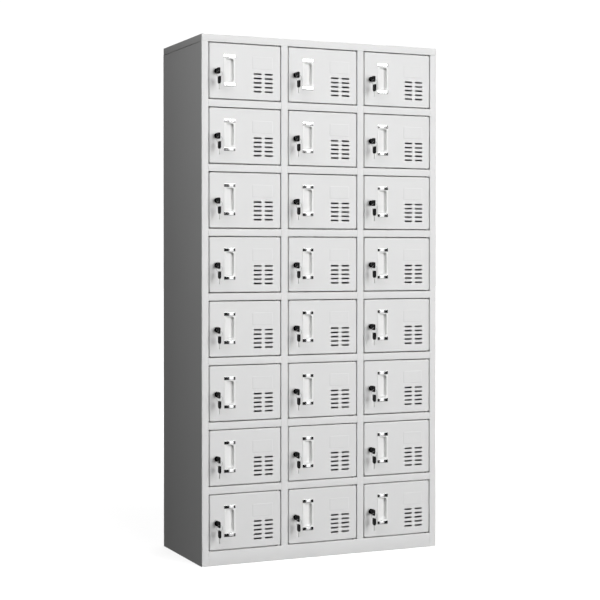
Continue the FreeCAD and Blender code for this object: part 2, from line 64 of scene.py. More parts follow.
def bent_line(corners, radii):
    """The line through the corners, each of its bends rounded to its own radius."""
    corners = [Vector(corner) for corner in corners]
    line = [corners[0]]
    for before, corner, after, radius in zip(corners, corners[1:], corners[2:], radii):
        into = (corner - before).normalized()
        out = (after - corner).normalized()
        bend = math.atan2(into.cross(out), into.dot(out))
        inward = Vector((-into.y, into.x)) * math.copysign(1, bend)
        centre = corner - into * radius * math.tan(abs(bend) / 2) + inward * radius
        for step in range(FOLD_STEPS + 1):
            turn = abs(bend) * step / FOLD_STEPS
            line.append(centre + radius * (into * math.sin(turn) - inward * math.cos(turn)))
    line.append(corners[-1])
    return line


def sheet_outline(line):
    """The outline of a bent sheet: along the line, and back at the sheet's thickness to its right."""
    inside = []
    for index, point in enumerate(line):
        along = line[min(index + 1, len(line) - 1)] - line[max(index - 1, 0)]
        along.normalize()
        inside.append(point + Vector((along.y, -along.x)) * SHEET)
    return line + inside[::-1]


def add_band(mesh, near, far):
    """Faces between two closed rings with as many vertices each."""
    for index in range(len(near)):
        following = (index + 1) % len(near)
        mesh.faces.new((near[index], near[following], far[following], far[index]))


def add_prism(mesh, outline, start, end, place):
    """Draws an outline from start to end. place turns two outline values and the reach into a point."""
    near = [mesh.verts.new(place(*point, start)) for point in outline]
    far = [mesh.verts.new(place(*point, end)) for point in outline]
    add_band(mesh, near, far)
    mesh.faces.new(near[::-1])
    mesh.faces.new(far)


def upright(x, y, reach):
    return x, y, reach


def mesh_data(name, mesh):
    """Ends a bmesh: outward normals, smooth bends and sharp cut edges."""
    bmesh.ops.recalc_face_normals(mesh, faces=mesh.faces)
    data = bpy.data.meshes.new(name)
    mesh.to_mesh(data)
    mesh.free()
    data.shade_smooth()
    data.set_sharp_from_angle(angle=SMOOTH_BELOW)
    return data


def new_object(name, data):
    """An object in the scene for a mesh, a curve, a light or a camera."""
    made = bpy.data.objects.new(name, data)
    bpy.context.scene.collection.objects.link(made)
    return made


def fit(name, data, material, body, nodes=(), place=(0, 0, 0)):
    """Puts a piece in its place on a body of the locker."""
    if not data.materials:
        data.materials.append(material)
    piece = new_object(name, data)
    piece.location = place
    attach(piece, body)
    if nodes:
        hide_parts(*nodes)
    return piece


def node_group(name, inputs, outputs):
    """An empty shader group with named sockets, and its two ends."""
    group = bpy.data.node_groups.new(name, "ShaderNodeTree")
    for label, kind, value in inputs:
        socket = group.interface.new_socket(label, in_out="INPUT", socket_type=kind)
        if value is not None:
            socket.default_value = value
    for label, kind in outputs:
        group.interface.new_socket(label, in_out="OUTPUT", socket_type=kind)
    return group, group.nodes.new("NodeGroupInput"), group.nodes.new("NodeGroupOutput")


def add_node(tree, kind, **settings):
    """A shader node with its settings, and with values for the sockets that are named in inputs."""
    sockets = settings.pop("inputs", {})
    node = tree.nodes.new(kind)
    for label, value in settings.items():
        setattr(node, label, value)
    for label, value in sockets.items():
        node.inputs[label].default_value = value
    return node


SPECKLE_FINENESS = 3.7


def make_surface_grain():
    """Fine grain of a coated or moulded face: a peel of small bumps over slow drifts of tone."""
    group, start, end = node_group(
        "surface_grain",
        (("Vector", "NodeSocketVector", None), ("Grain", "NodeSocketFloat", 500.0),
         ("Drift", "NodeSocketFloat", 4.0), ("Speckle", "NodeSocketFloat", 0.35)),
        (("Drift", "NodeSocketFloat"), ("Speckle", "NodeSocketFloat"), ("Height", "NodeSocketFloat")),
    )
    drift = add_node(group, "ShaderNodeTexNoise", inputs={"Detail": 3.0, "Roughness": 0.55})
    grain = add_node(group, "ShaderNodeTexNoise", inputs={"Detail": 2.0, "Roughness": 0.5})
    finer = add_node(group, "ShaderNodeMath", operation="MULTIPLY", inputs={1: SPECKLE_FINENESS})
    speckle = add_node(group, "ShaderNodeTexNoise", inputs={"Detail": 1.0})
    mixed = add_node(group, "ShaderNodeMix", data_type="FLOAT")
    for noise in (drift, grain, speckle):
        group.links.new(start.outputs["Vector"], noise.inputs["Vector"])
    group.links.new(start.outputs["Drift"], drift.inputs["Scale"])
    group.links.new(start.outputs["Grain"], grain.inputs["Scale"])
    group.links.new(start.outputs["Grain"], finer.inputs[0])
    group.links.new(finer.outputs[0], speckle.inputs["Scale"])
    group.links.new(start.outputs["Speckle"], mixed.inputs["Factor"])
    group.links.new(grain.outputs["Fac"], mixed.inputs["A"])
    group.links.new(speckle.outputs["Fac"], mixed.inputs["B"])
    group.links.new(drift.outputs["Fac"], end.inputs["Drift"])
    group.links.new(speckle.outputs["Fac"], end.inputs["Speckle"])
    group.links.new(mixed.outputs["Result"], end.inputs["Height"])
    return group


surface_grain = make_surface_grain()


def new_material(name, **values):
    """A material with its Principled shader set to even values."""
    material = bpy.data.materials.new(name)
    material.use_nodes = True
    shader = material.node_tree.nodes["Principled BSDF"]
    for label, value in values.items():
        shader.inputs[label.replace("_", " ")].default_value = value
    return material, material.node_tree, shader


def patterned_material(name, pattern, scales, leads, shades, gloss, relief, **values):
    """A finish between two shades, with a range of roughness and small bumps.

    leads names the pattern's outputs for the shade, the roughness and the bumps.
    """
    material, tree, shader = new_material(name, **values)
    where = add_node(tree, "ShaderNodeTexCoord")
    texture = add_node(tree, "ShaderNodeGroup", node_tree=pattern, inputs=scales)
    tone = add_node(tree, "ShaderNodeMix", data_type="RGBA")
    tone.inputs["A"].default_value = (*shades[0], 1)
    tone.inputs["B"].default_value = (*shades[1], 1)
    shine = add_node(tree, "ShaderNodeMapRange", inputs={"To Min": gloss[0], "To Max": gloss[1]})
    bump = add_node(tree, "ShaderNodeBump", inputs={"Strength": 1.0, "Distance": relief})
    tree.links.new(where.outputs["Object"], texture.inputs["Vector"])
    led = (tone.inputs["Factor"], shine.inputs["Value"], bump.inputs["Height"])
    for label, socket in zip(leads, led):
        tree.links.new(texture.outputs[label], socket)
    tree.links.new(tone.outputs["Result"], shader.inputs["Base Color"])
    tree.links.new(shine.outputs["Result"], shader.inputs["Roughness"])
    tree.links.new(bump.outputs["Normal"], shader.inputs["Normal"])
    return material


def grained_material(name, shades, gloss, grain, drift, peel, **values):
    """A coated or moulded finish with a peel of small bumps."""
    scales = {"Grain": grain, "Drift": drift}
    leads = ("Drift", "Speckle", "Height")
    return patterned_material(name, surface_grain, scales, leads, shades, gloss, peel, **values)


powder_coat = grained_material(
    "powder_coat",
    shades=((0.675, 0.676, 0.675), (0.705, 0.706, 0.705)),
    gloss=(0.40, 0.52),
    grain=420.0,
    drift=5.0,
    peel=0.02 * MM,
)


def side_panel(name, hand):
    """hand is 1 for the left panel and -1 for the right one, its mirror image."""
    outside, inside = left_low.x, left_high.x
    back, top = left_high.y, left_high.z
    fold = bent_line(
        [(inside - FRAME_LIP, FRAME_BACK), (inside, FRAME_BACK), (inside, FRONT), (outside, FRONT),
         (outside, back), (outside + PANEL_FLANGE, back)],
        [FOLD_RADIUS, FOLD_RADIUS, CORNER_RADIUS, FOLD_RADIUS],
    )
    mesh = bmesh.new()

    def mirrored(x, y, reach):
        return hand * x, y, reach

    add_prism(mesh, sheet_outline(fold), left_low.z, top, mirrored)
    flange = [(outside, FRAME_BACK + SHEET), (outside + PANEL_FLANGE, FRAME_BACK + SHEET),
              (outside + PANEL_FLANGE, back), (outside, back)]
    for level in (left_low.z, top - SHEET):
        add_prism(mesh, flange, level, level + SHEET, mirrored)
    return fit(name, mesh_data(name, mesh), powder_coat, "carcass", [name])


side_panel("left_side_panel", 1).name = "side_panel_left"
side_panel("right_side_panel", -1).name = "side_panel_right"

# Plinth
# A folded channel of painted sheet, welded between the stiles under the lowest doors.
# Its top carries the lowest pivots.
plinth_low, plinth_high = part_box("plinth_panel")


def sideways(y, z, reach):
    return reach, y, z


def channel(front, back, low, high):
    """Section of a channel that is open at the back."""
    corners = [(back, low), (front, low), (front, high), (back, high)]
    return sheet_outline(bent_line(corners, [FOLD_RADIUS, FOLD_RADIUS]))


plinth_mesh = bmesh.new()
plinth_section = channel(FRONT, FRAME_BACK, plinth_low.z, plinth_high.z)
add_prism(plinth_mesh, plinth_section, plinth_low.x, plinth_high.x, sideways)
fit("plinth", mesh_data("plinth", plinth_mesh), powder_coat, "carcass", ["plinth_panel"])

# Mullions
# Posts of closed box section between the columns, folded from painted sheet.
# They run from the plinth to the cap and are welded to both.
mullion_low, mullion_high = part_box("mullions")
MULLION_WIDTH = 25 * MM
mullion_mesh = bmesh.new()
for post_left in (mullion_low.x, mullion_high.x - MULLION_WIDTH):
    post_right = post_left + MULLION_WIDTH
    seam = (post_left + post_right) / 2
    around = bent_line(
        [(seam, FRAME_BACK), (post_right, FRAME_BACK), (post_right, FRONT), (post_left, FRONT),
         (post_left, FRAME_BACK), (seam, FRAME_BACK)],
        [FOLD_RADIUS] * 4,
    )
    add_prism(mullion_mesh, sheet_outline(around), mullion_low.z, mullion_high.z, upright)
mullion_posts = mesh_data("mullion_posts", mullion_mesh)
fit("mullion_posts", mullion_posts, powder_coat, "carcass", ["mullions"])

# Cross rails
# Folded channels of painted sheet between the doors of a column.
# Each is welded at both ends to a stile or a mullion.
RAIL_HEIGHT = 25 * MM
DOOR_GAP = 3 * MM
ROWS = range(1, 9)
COLUMNS = range(1, 4)
rail_mesh = bmesh.new()
for column in COLUMNS:
    for row in ROWS[:-1]:
        door_low, door_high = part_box(f"door_r{row}c{column}")
        rail_top = door_low.z - DOOR_GAP
        section = channel(FRONT, FRAME_BACK, rail_top - RAIL_HEIGHT, rail_top)
        add_prism(rail_mesh, section, door_low.x - DOOR_GAP, door_high.x + DOOR_GAP, sideways)
fit("rails", mesh_data("rails", rail_mesh), powder_coat, "carcass", ["cross_rails"])

# Shelves and bottom panel
# Trays of painted sheet with their edges turned down.
# They are spot welded between the side panels and the partitions.
CORNER_STEPS = 5
LEAST_CORNER_SHARE = 0.1
FLAT_MARGIN = 0.5 * MM


def rounded_outline(left, right, low, high, radius):
    """A rectangle with round corners, counterclockwise from the lower right corner."""
    corners = ((right - radius, low + radius, -1), (right - radius, high - radius, 0),
               (left + radius, high - radius, 1), (left + radius, low + radius, 2))
    points = []
    for across, up, quarter in corners:
        for step in range(CORNER_STEPS + 1):
            angle = RIGHT_ANGLE * (quarter + step / CORNER_STEPS)
            points.append((across + radius * math.cos(angle), up + radius * math.sin(angle)))
    return points


def round_edge(radius, steps=FOLD_STEPS):
    """Insets and depths over a round edge, from a flat margin on the face to the side."""
    turns = [RIGHT_ANGLE * step / steps for step in range(steps + 1)]
    course = [(radius * (1 - math.sin(turn)), radius * (1 - math.cos(turn))) for turn in turns]
    return [(radius + FLAT_MARGIN, 0)] + course


def pan_rings(left, right, low, high, depth, lip, corner, fold=FOLD_RADIUS):
    """Rings of a pan from a flat margin on its face, over the fold and down the sides, to its lip's end."""
    course = round_edge(fold)
    if lip:
        course += [(deep, depth - inset) for inset, deep in round_edge(FOLD_RADIUS)[1:]]
        course.append((lip, depth))
    else:
        course.append((0, depth))
    rings = []
    for inset, deep in course:
        radius = max(corner - inset, corner * LEAST_CORNER_SHARE)
        outline = rounded_outline(left + inset, right - inset, low + inset, high - inset, radius)
        rings.append((outline, deep))
    return rings


def add_rings(mesh, rings, place):
    """Skins a row of rings with as many points each, and returns the first and the last."""
    drawn = [[mesh.verts.new(place(across, up, deep)) for across, up in outline] for outline, deep in rings]
    for near, far in zip(drawn, drawn[1:]):
        add_band(mesh, near, far)
    return drawn[0], drawn[-1]


def drawn_mesh(holder):
    """The mesh of an object as its modifier or bevel draws it. The object itself is removed."""
    made = bpy.data.meshes.new_from_object(holder.evaluated_get(bpy.context.evaluated_depsgraph_get()))
    bpy.data.objects.remove(holder)
    return made


def thickened(name, mesh, thickness=SHEET, even=True):
    """Gives a skin a thickness on its inside, the same in its corners too if even."""
    holder = new_object(name, mesh_data(name, mesh))
    solid = holder.modifiers.new("thickness", "SOLIDIFY")
    solid.thickness = thickness
    solid.offset = -1
    solid.use_even_offset = even
    made = drawn_mesh(holder)
    made.name = name
    made.set_sharp_from_angle(angle=SMOOTH_BELOW)
    return made


def skyward(level):
    """Places a pan that lies with its face up at a level."""
    def place(across, up, deep):
        return across, up, level - deep
    return place


TRAY_CORNER = 2 * MM
TRAY_DEPTH = 15 * MM
bottom_low, bottom_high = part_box("bottom_panel")
partition_low, partition_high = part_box("partitions")
bay_edges = [bottom_low.x, partition_low.x, partition_low.x + SHEET]
bay_edges += [partition_high.x - SHEET, partition_high.x, bottom_high.x]
tray_mesh = bmesh.new()
for column in COLUMNS:
    bay_left, bay_right = bay_edges[2 * column - 2:2 * column]
    for row in ROWS[:-1]:
        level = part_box(f"door_r{row}c{column}")[0].z - DOOR_GAP
        rings = pan_rings(bay_left, bay_right, FRAME_BACK, bottom_high.y, TRAY_DEPTH, 0, TRAY_CORNER)
        rim, _ = add_rings(tray_mesh, rings, skyward(level))
        tray_mesh.faces.new(rim)
shelf_trays = thickened("shelf_trays", tray_mesh)
fit("shelf_trays", shelf_trays, powder_coat, "carcass", ["shelves"])

floor_mesh = bmesh.new()
floor_rings = pan_rings(bottom_low.x, bottom_high.x, FRAME_BACK, bottom_high.y, TRAY_DEPTH, 0, TRAY_CORNER)
rim, _ = add_rings(floor_mesh, floor_rings, skyward(bottom_high.z))
floor_mesh.faces.new(rim)
bottom_tray = thickened("bottom_tray", floor_mesh)
fit("bottom_tray", bottom_tray, powder_coat, "carcass", ["bottom_panel"])

# Partitions, back panel and door stops
# Flat sheets and small tabs of painted steel, spot welded in place.
# They keep the shape of the solids and get the same paint.
for plain in ("partitions", "back_panel", "door_stops"):
    flat_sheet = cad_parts[plain]
    flat_sheet.data.materials.clear()
    flat_sheet.data.materials.append(powder_coat)

# Top cap
# A lid tray of painted sheet, set over the side panels. Its front flange is the top rail,
# and a fine seam shows where it sits on them.
cap_low, cap_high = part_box("top_cap")
CAP_CORNER = 2.4 * MM
cap_mesh = bmesh.new()
CAP_HEIGHT = cap_high.z - cap_low.z
cap_rings = pan_rings(cap_low.x, cap_high.x, cap_low.y, cap_high.y, CAP_HEIGHT, PANEL_FLANGE, CAP_CORNER)
rim, _ = add_rings(cap_mesh, cap_rings, skyward(cap_high.z))
cap_mesh.faces.new(rim)
fit("cap_lid", thickened("cap_lid", cap_mesh), powder_coat, "carcass", ["top_cap"])


# Hinge pins
# Turned steel pins, zinc plated, set through the rails.
# Their collars show in the gaps at the right of each door.
def make_handling_marks():
    """Marks of making and handling on bright metal: fine drawn lines and slow smears."""
    group, start, end = node_group(
        "handling_marks",
        (("Vector", "NodeSocketVector", None), ("Lines", "NodeSocketFloat", 900.0),
         ("Smears", "NodeSocketFloat", 60.0)),
        (("Lines", "NodeSocketFloat"), ("Smears", "NodeSocketFloat")),
    )
    stretch = add_node(group, "ShaderNodeMapping", inputs={"Scale": (0.04, 1.0, 1.0)})
    lines = add_node(group, "ShaderNodeTexNoise", inputs={"Detail": 2.0})
    smears = add_node(group, "ShaderNodeTexNoise", inputs={"Detail": 4.0, "Roughness": 0.6})
    group.links.new(start.outputs["Vector"], stretch.inputs["Vector"])
    group.links.new(stretch.outputs["Vector"], lines.inputs["Vector"])
    group.links.new(start.outputs["Vector"], smears.inputs["Vector"])
    group.links.new(start.outputs["Lines"], lines.inputs["Scale"])
    group.links.new(start.outputs["Smears"], smears.inputs["Scale"])
    group.links.new(lines.outputs["Fac"], end.inputs["Lines"])
    group.links.new(smears.outputs["Fac"], end.inputs["Smears"])
    return group


handling_marks = make_handling_marks()


def metal_material(name, shades, gloss, lines, smears, scratch):
    """A bare or plated metal with fine drawn lines."""
    scales = {"Lines": lines, "Smears": smears}
    leads = ("Smears", "Smears", "Lines")
    return patterned_material(name, handling_marks, scales, leads, shades, gloss, scratch, Metallic=1.0)


zinc_plate = metal_material(
    "zinc_plate",
    shades=((0.36, 0.362, 0.362), (0.45, 0.45, 0.445)),
    gloss=(0.34, 0.50),
    lines=1400.0,
    smears=160.0,
    scratch=0.006 * MM,
)
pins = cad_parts["hinge_pins"]
pins.data.materials.clear()
pins.data.materials.append(zinc_plate)

# Door pans
# Each door is one sheet with its edges folded back and in again. It has two columns of punched vents, a
# faint raised field for a name card, and holes for the lock and the handle cup.
DOOR_DEPTH = 18 * MM
DOOR_LIP = 8 * MM
DOOR_CORNER, DOOR_FOLD = 5 * MM, 3 * MM
VENT_LEFT, VENT_BOTTOM = 161 * MM, 26.2 * MM
VENT_LENGTH, VENT_HEIGHT = 29.5 * MM, 5.6 * MM
VENT_COLUMN_PITCH, VENT_ROW_PITCH = 41.3 * MM, 15 * MM
VENT_COLUMNS, VENT_ROWS = range(2), range(5)
PUNCH_ROUND, PUNCH_STEPS = 0.35 * MM, 2
VENT_END_FLAT = PUNCH_ROUND / 10
CARD_LEFT, CARD_BOTTOM = 157 * MM, 106 * MM
CARD_WIDTH, CARD_HEIGHT = 74 * MM, 42 * MM
CARD_RELIEF, CARD_SLOPE, CARD_CORNER = 0.4 * MM, 0.9 * MM, 1.6 * MM
CARD_SHARES = (-0.5, 0, 0.3, 0.7, 1, 1.5)
HANDLE_LEFT, HANDLE_BOTTOM = 52.5 * MM, 43 * MM
HANDLE_WIDTH, HANDLE_HEIGHT = 40.5 * MM, 108 * MM
HANDLE_CAP = 12 * MM
HANDLE_LAP = 2 * MM
LOCK_INSET, LOCK_HEIGHT = 25 * MM, 92 * MM
BARREL_RADIUS = 9 * MM
ROUND_STEPS = 48
HANDLE_RIGHT = HANDLE_LEFT + HANDLE_WIDTH
WELL_BOTTOM = HANDLE_BOTTOM + HANDLE_CAP
WELL_TOP = HANDLE_BOTTOM + HANDLE_HEIGHT - HANDLE_CAP
door_low, door_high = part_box("door_r1c1")
DOOR_WIDTH = door_high.x - door_low.x
DOOR_HEIGHT = door_high.z - door_low.z


def doorward(across, up, deep):
    """Places a door's values: across and up from its lower left corner, deep behind its face."""
    return across, deep, up


def ring_edges(ring):
    """The edges round a closed ring of vertices."""
    pairs = zip(ring, ring[1:] + ring[:1])
    return [edge for one, other in pairs for edge in one.link_edges if edge.other_vert(one) is other]


def circle(across, up, radius, steps=ROUND_STEPS):
    turns = [2 * math.pi * step / steps for step in range(steps)]
    return [(across + radius * math.cos(turn), up + radius * math.sin(turn)) for turn in turns]


def add_vents(mesh):
    """Adds the punched slots with round edges, and returns the edges at which the door's face ends."""
    borders = []
    for column in VENT_COLUMNS:
        for row in VENT_ROWS:
            left = VENT_LEFT + column * VENT_COLUMN_PITCH
            low = VENT_BOTTOM + row * VENT_ROW_PITCH
            right, high = left + VENT_LENGTH, low + VENT_HEIGHT
            slot = []
            for grow, deep in round_edge(PUNCH_ROUND, PUNCH_STEPS):
                end_round = VENT_HEIGHT / 2 + grow - VENT_END_FLAT
                outline = rounded_outline(left - grow, right + grow, low - grow, high + grow, end_round)
                slot.append((outline, deep))
            rim, _ = add_rings(mesh, slot, doorward)
            borders += ring_edges(rim)
    return borders


def add_card_field(mesh):
    """Adds the raised field for a name card, and returns the edges at which the door's face ends."""
    rings = []
    for share in CARD_SHARES:
        inset = CARD_SLOPE * share
        rise = min(max(share, 0), 1)
        swell = CARD_RELIEF * (3 * rise ** 2 - 2 * rise ** 3)
        outline = rounded_outline(CARD_LEFT + inset, CARD_LEFT + CARD_WIDTH - inset, CARD_BOTTOM + inset,
                                  CARD_BOTTOM + CARD_HEIGHT - inset, CARD_CORNER)
        rings.append((outline, -swell))
    rim, field = add_rings(mesh, rings, doorward)
    mesh.faces.new(field)
    return ring_edges(rim)


def make_door_pan():
    mesh = bmesh.new()
    rings = pan_rings(0, DOOR_WIDTH, 0, DOOR_HEIGHT, DOOR_DEPTH, DOOR_LIP, DOOR_CORNER, DOOR_FOLD)
    rim, _ = add_rings(mesh, rings, doorward)
    borders = ring_edges(rim) + add_vents(mesh) + add_card_field(mesh)
    holes = (
        rounded_outline(HANDLE_LEFT + HANDLE_LAP, HANDLE_RIGHT - HANDLE_LAP, WELL_BOTTOM - HANDLE_LAP,
                        WELL_TOP + HANDLE_LAP, HANDLE_LAP),
        circle(LOCK_INSET, LOCK_HEIGHT, BARREL_RADIUS),
    )
    for outline in holes:
        ring = [mesh.verts.new(doorward(across, up, 0)) for across, up in outline]
        borders += [mesh.edges.new(pair) for pair in zip(ring, ring[1:] + ring[:1])]
    bmesh.ops.triangle_fill(mesh, edges=borders, use_beauty=True, normal=(0, -1, 0))
    return thickened("door_pan", mesh)


door_pan = make_door_pan()
spots = {}
for row in ROWS:
    for column in COLUMNS:
        spot = f"r{row}c{column}"
        low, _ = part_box(f"door_{spot}")
        spots[spot] = Vector((low.x, FRONT, low.z))
for spot, place in spots.items():
    fit(f"door_pan_{spot}", door_pan, powder_coat, f"door_{spot}", [f"door_{spot}"], place)

# Handle cups
# White moulded scoops let into the doors, with a rim that lies on the sheet. The floor falls from the left
# and ends on the right under a short grip lip, which the fingers pull.
white_plastic = grained_material(
    "white_plastic",
    shades=((0.80, 0.80, 0.795), (0.825, 0.825, 0.82)),
    gloss=(0.30, 0.42),
    grain=900.0,
    drift=40.0,
    peel=0.008 * MM,
)
RIM_PROUD, RIM_ROUND, RIM_CORNER = 1.2 * MM, 0.8 * MM, 1.6 * MM
CUP_WALL = 1.2 * MM
RIM_LEFT_WIDTH, RIM_RIGHT_WIDTH = 3.6 * MM, 4.6 * MM
SCOOP_LEFT, SCOOP_RIGHT = HANDLE_LEFT + RIM_LEFT_WIDTH, HANDLE_RIGHT - RIM_RIGHT_WIDTH
SCOOP_END = 3 * MM
SCOOP_BOTTOM, SCOOP_TOP = WELL_BOTTOM + SCOOP_END, WELL_TOP - SCOOP_END
SCOOP_SLOPE, SCOOP_BEND = 24 * MM, 0.6 * MM
SCOOP_LEVEL = SCOOP_RIGHT - SCOOP_LEFT - SCOOP_SLOPE
SCOOP_DEPTH, SCOOP_FALL = 13 * MM, 1 * MM
SCOOP_CORNER, SCOOP_TIGHT_CORNER = 8 * MM, 1.5 * MM
SCOOP_EDGE, SCOOP_FOOT = 0.5 * MM, 2 * MM
SCOOP_SIDE_STEPS, SCOOP_WALL_STEPS = 12, 12
SCOOP_FLOOR_SHARES = (1.2, 1.4, 1.65, 1.9)
GRIP_REACH, GRIP_THICKNESS = 1 * MM, 2.4 * MM
LIP_SHARES = ((0, 0.85), (0.15, 1), (1, 1))
WELD_DISTANCE = MM / 1000


def scoop_outline(inset):
    """The scoop's mouth drawn inset, as places and outward ways, with wide corners at the grip."""
    corners = (
        (SCOOP_RIGHT, SCOOP_BOTTOM, -1, SCOOP_CORNER),
        (SCOOP_RIGHT, SCOOP_TOP, 0, SCOOP_CORNER),
        (SCOOP_LEFT, SCOOP_TOP, 1, SCOOP_TIGHT_CORNER),
        (SCOOP_LEFT, SCOOP_BOTTOM, 2, SCOOP_TIGHT_CORNER),
    )
    arcs = []
    for across, up, quarter, radius in corners:
        bend = max(radius - inset, SCOOP_TIGHT_CORNER * LEAST_CORNER_SHARE)
        diagonal = RIGHT_ANGLE * (quarter + 0.5)
        outward = Vector((math.copysign(1, math.cos(diagonal)), math.copysign(1, math.sin(diagonal))))
        middle = Vector((across, up)) - outward * (inset + bend)
        angles = [RIGHT_ANGLE * (quarter + step / CORNER_STEPS) for step in range(CORNER_STEPS + 1)]
        ways = [Vector((math.cos(angle), math.sin(angle))) for angle in angles]
        arcs.append([(middle + way * bend, way) for way in ways])
    points = []
    for arc, following in zip(arcs, arcs[1:] + arcs[:1]):
        points += arc
        (here, way), (there, _) = arc[-1], following[0]
        points += [(here.lerp(there, step / SCOOP_SIDE_STEPS), way) for step in range(1, SCOOP_SIDE_STEPS)]
    return points


def scoop_rings():
    """Rings of places and depths: over the round edge, under the grip lip, down the walls to the floor."""
    rings = []
    for grow, deep in round_edge(SCOOP_EDGE):
        rings.append([(*place, deep) for place, way in scoop_outline(-grow)])
    # At the grip the ring runs down the lip's edge and then back under the lip.
    for outward, downward in LIP_SHARES:
        ring = []
        for place, way in scoop_outline(0):
            grip = max(way.x, 0) ** 2
            place = place + way * GRIP_REACH * grip * outward
            ring.append((*place, SCOOP_EDGE + (GRIP_THICKNESS - SCOOP_EDGE) * grip * downward))
        rings.append(ring)
    # The walls fall to the floor in a quarter of an ellipse, which is narrow under the lip.
    turns = [RIGHT_ANGLE * step / SCOOP_WALL_STEPS for step in range(1, SCOOP_WALL_STEPS + 1)]
    insets = [SCOOP_CORNER * (1 - math.cos(turn)) for turn in turns]
    insets += [SCOOP_CORNER * share for share in SCOOP_FLOOR_SHARES]
    for inset in insets:
        ring = []
        for place, way in scoop_outline(inset):
            grip = max(way.x, 0) ** 2
            foot = SCOOP_CORNER + (SCOOP_FOOT - SCOOP_CORNER) * grip
            open_share = max(1 - inset / foot, 0)
            place = place + way * GRIP_REACH * grip * open_share
            # The floor is a slope and an almost level part, blended where they meet.
            sloping = (place.x - SCOOP_LEFT) * (SCOOP_DEPTH - SCOOP_FALL) / SCOOP_SLOPE
            level = SCOOP_DEPTH - SCOOP_FALL * (SCOOP_RIGHT - place.x) / SCOOP_LEVEL
            blend = max(SCOOP_BEND - abs(sloping - level), 0)
            ground = max(min(sloping, level) - blend ** 2 / (4 * SCOOP_BEND), SCOOP_EDGE)
            edge = SCOOP_EDGE + (GRIP_THICKNESS - SCOOP_EDGE) * grip
            ring.append((*place, edge + (ground - edge) * math.sqrt(1 - open_share ** 2)))
        rings.append(ring)
    return rings


def make_handle_cup():
    mesh = bmesh.new()
    drawn = [[mesh.verts.new(doorward(across, up, deep - RIM_PROUD)) for across, up, deep in ring]
             for ring in scoop_rings()]
    for outer, inner in zip(drawn, drawn[1:]):
        add_band(mesh, outer, inner)
    mesh.faces.new(drawn[-1])
    borders = ring_edges(drawn[0])
    rings = []
    for inset, deep in round_edge(RIM_ROUND) + [(0, RIM_PROUD)]:
        outline = rounded_outline(HANDLE_LEFT + inset, HANDLE_RIGHT - inset, WELL_BOTTOM + inset,
                                  WELL_TOP - inset, RIM_CORNER - inset)
        rings.append((outline, deep - RIM_PROUD))
    rim, _ = add_rings(mesh, rings, doorward)
    bmesh.ops.triangle_fill(mesh, edges=borders + ring_edges(rim), use_beauty=True, normal=(0, -1, 0))
    bmesh.ops.remove_doubles(mesh, verts=mesh.verts, dist=WELD_DISTANCE)
    return thickened("handle_cup", mesh, CUP_WALL, even=False)


handle_cup = make_handle_cup()
for spot, place in spots.items():
    fit(f"handle_cup_{spot}", handle_cup, white_plastic, f"door_{spot}", (), place)

# Handle end caps
# Bright chromed mouldings, bowed across and rounded above and below.
# One is clipped over each end of a cup.
chrome = metal_material(
    "chrome",
    shades=((0.74, 0.74, 0.745), (0.80, 0.80, 0.80)),
    gloss=(0.09, 0.16),
    lines=500.0,
    smears=110.0,
    scratch=0.0015 * MM,
)
CAP_EDGE, CAP_RISE = 0.4 * MM, 2.6 * MM
CAP_BOW = 0.67
CAP_SQUARENESS = 9
CAP_ACROSS, CAP_UP = 24, 16


def make_handle_caps():
    mesh = bmesh.new()
    for low in (HANDLE_BOTTOM, WELL_TOP):
        grid = []
        for step_up in range(CAP_UP + 1):
            v = -math.cos(math.pi * step_up / CAP_UP)
            rounding = (1 - abs(v) ** CAP_SQUARENESS) ** (1 / CAP_SQUARENESS)
            line = []
            for step in range(CAP_ACROSS + 1):
                u = 2 * step / CAP_ACROSS - 1
                swell = (1 - CAP_BOW * u ** 2) * rounding
                across = HANDLE_LEFT + HANDLE_WIDTH * (u + 1) / 2
                up = low + HANDLE_CAP * (v + 1) / 2
                line.append(mesh.verts.new(doorward(across, up, -CAP_EDGE - CAP_RISE * swell)))
            grid.append(line)
        for lower, upper in zip(grid, grid[1:]):
            for step in range(CAP_ACROSS):
                mesh.faces.new((lower[step], lower[step + 1], upper[step + 1], upper[step]))
        rim = grid[0] + [line[-1] for line in grid[1:]]
        rim += grid[-1][-2::-1] + [line[0] for line in grid[-2:0:-1]]
        foot = [mesh.verts.new((vert.co.x, 0, vert.co.z)) for vert in rim]
        add_band(mesh, rim, foot)
        mesh.faces.new(foot)
    return mesh_data("handle_caps", mesh)


handle_caps = make_handle_caps()
for spot, place in spots.items():
    fit(f"handle_caps_{spot}", handle_caps, chrome, f"door_{spot}", (), place)

# Lock cases
# Turned cases with a satin nickel finish. The bezel lies on the door, and the threaded barrel goes through
# the sheet and is held by a hexagon nut behind.
BEZEL_RADIUS, BEZEL_FACE = 11 * MM, 9.6 * MM
BEZEL_THICKNESS = 3 * MM
BEZEL_ROUND = 0.6 * MM
BARREL_LENGTH = 20 * MM
THREAD_PITCH, THREAD_DEPTH = 1.25 * MM, 0.5 * MM
PLUG_RADIUS, BORE_RADIUS = 6 * MM, 6.1 * MM
NUT_WIDTH, NUT_THICKNESS, NUT_SIDES = 24 * MM, 4 * MM, 6


def add_turned(mesh, course, across=0, up=0):
    """Turns a course of (radius, depth) about a lock's axis."""
    rings = [(circle(across, up, radius), deep) for radius, deep in course]
    return add_rings(mesh, rings, doorward)


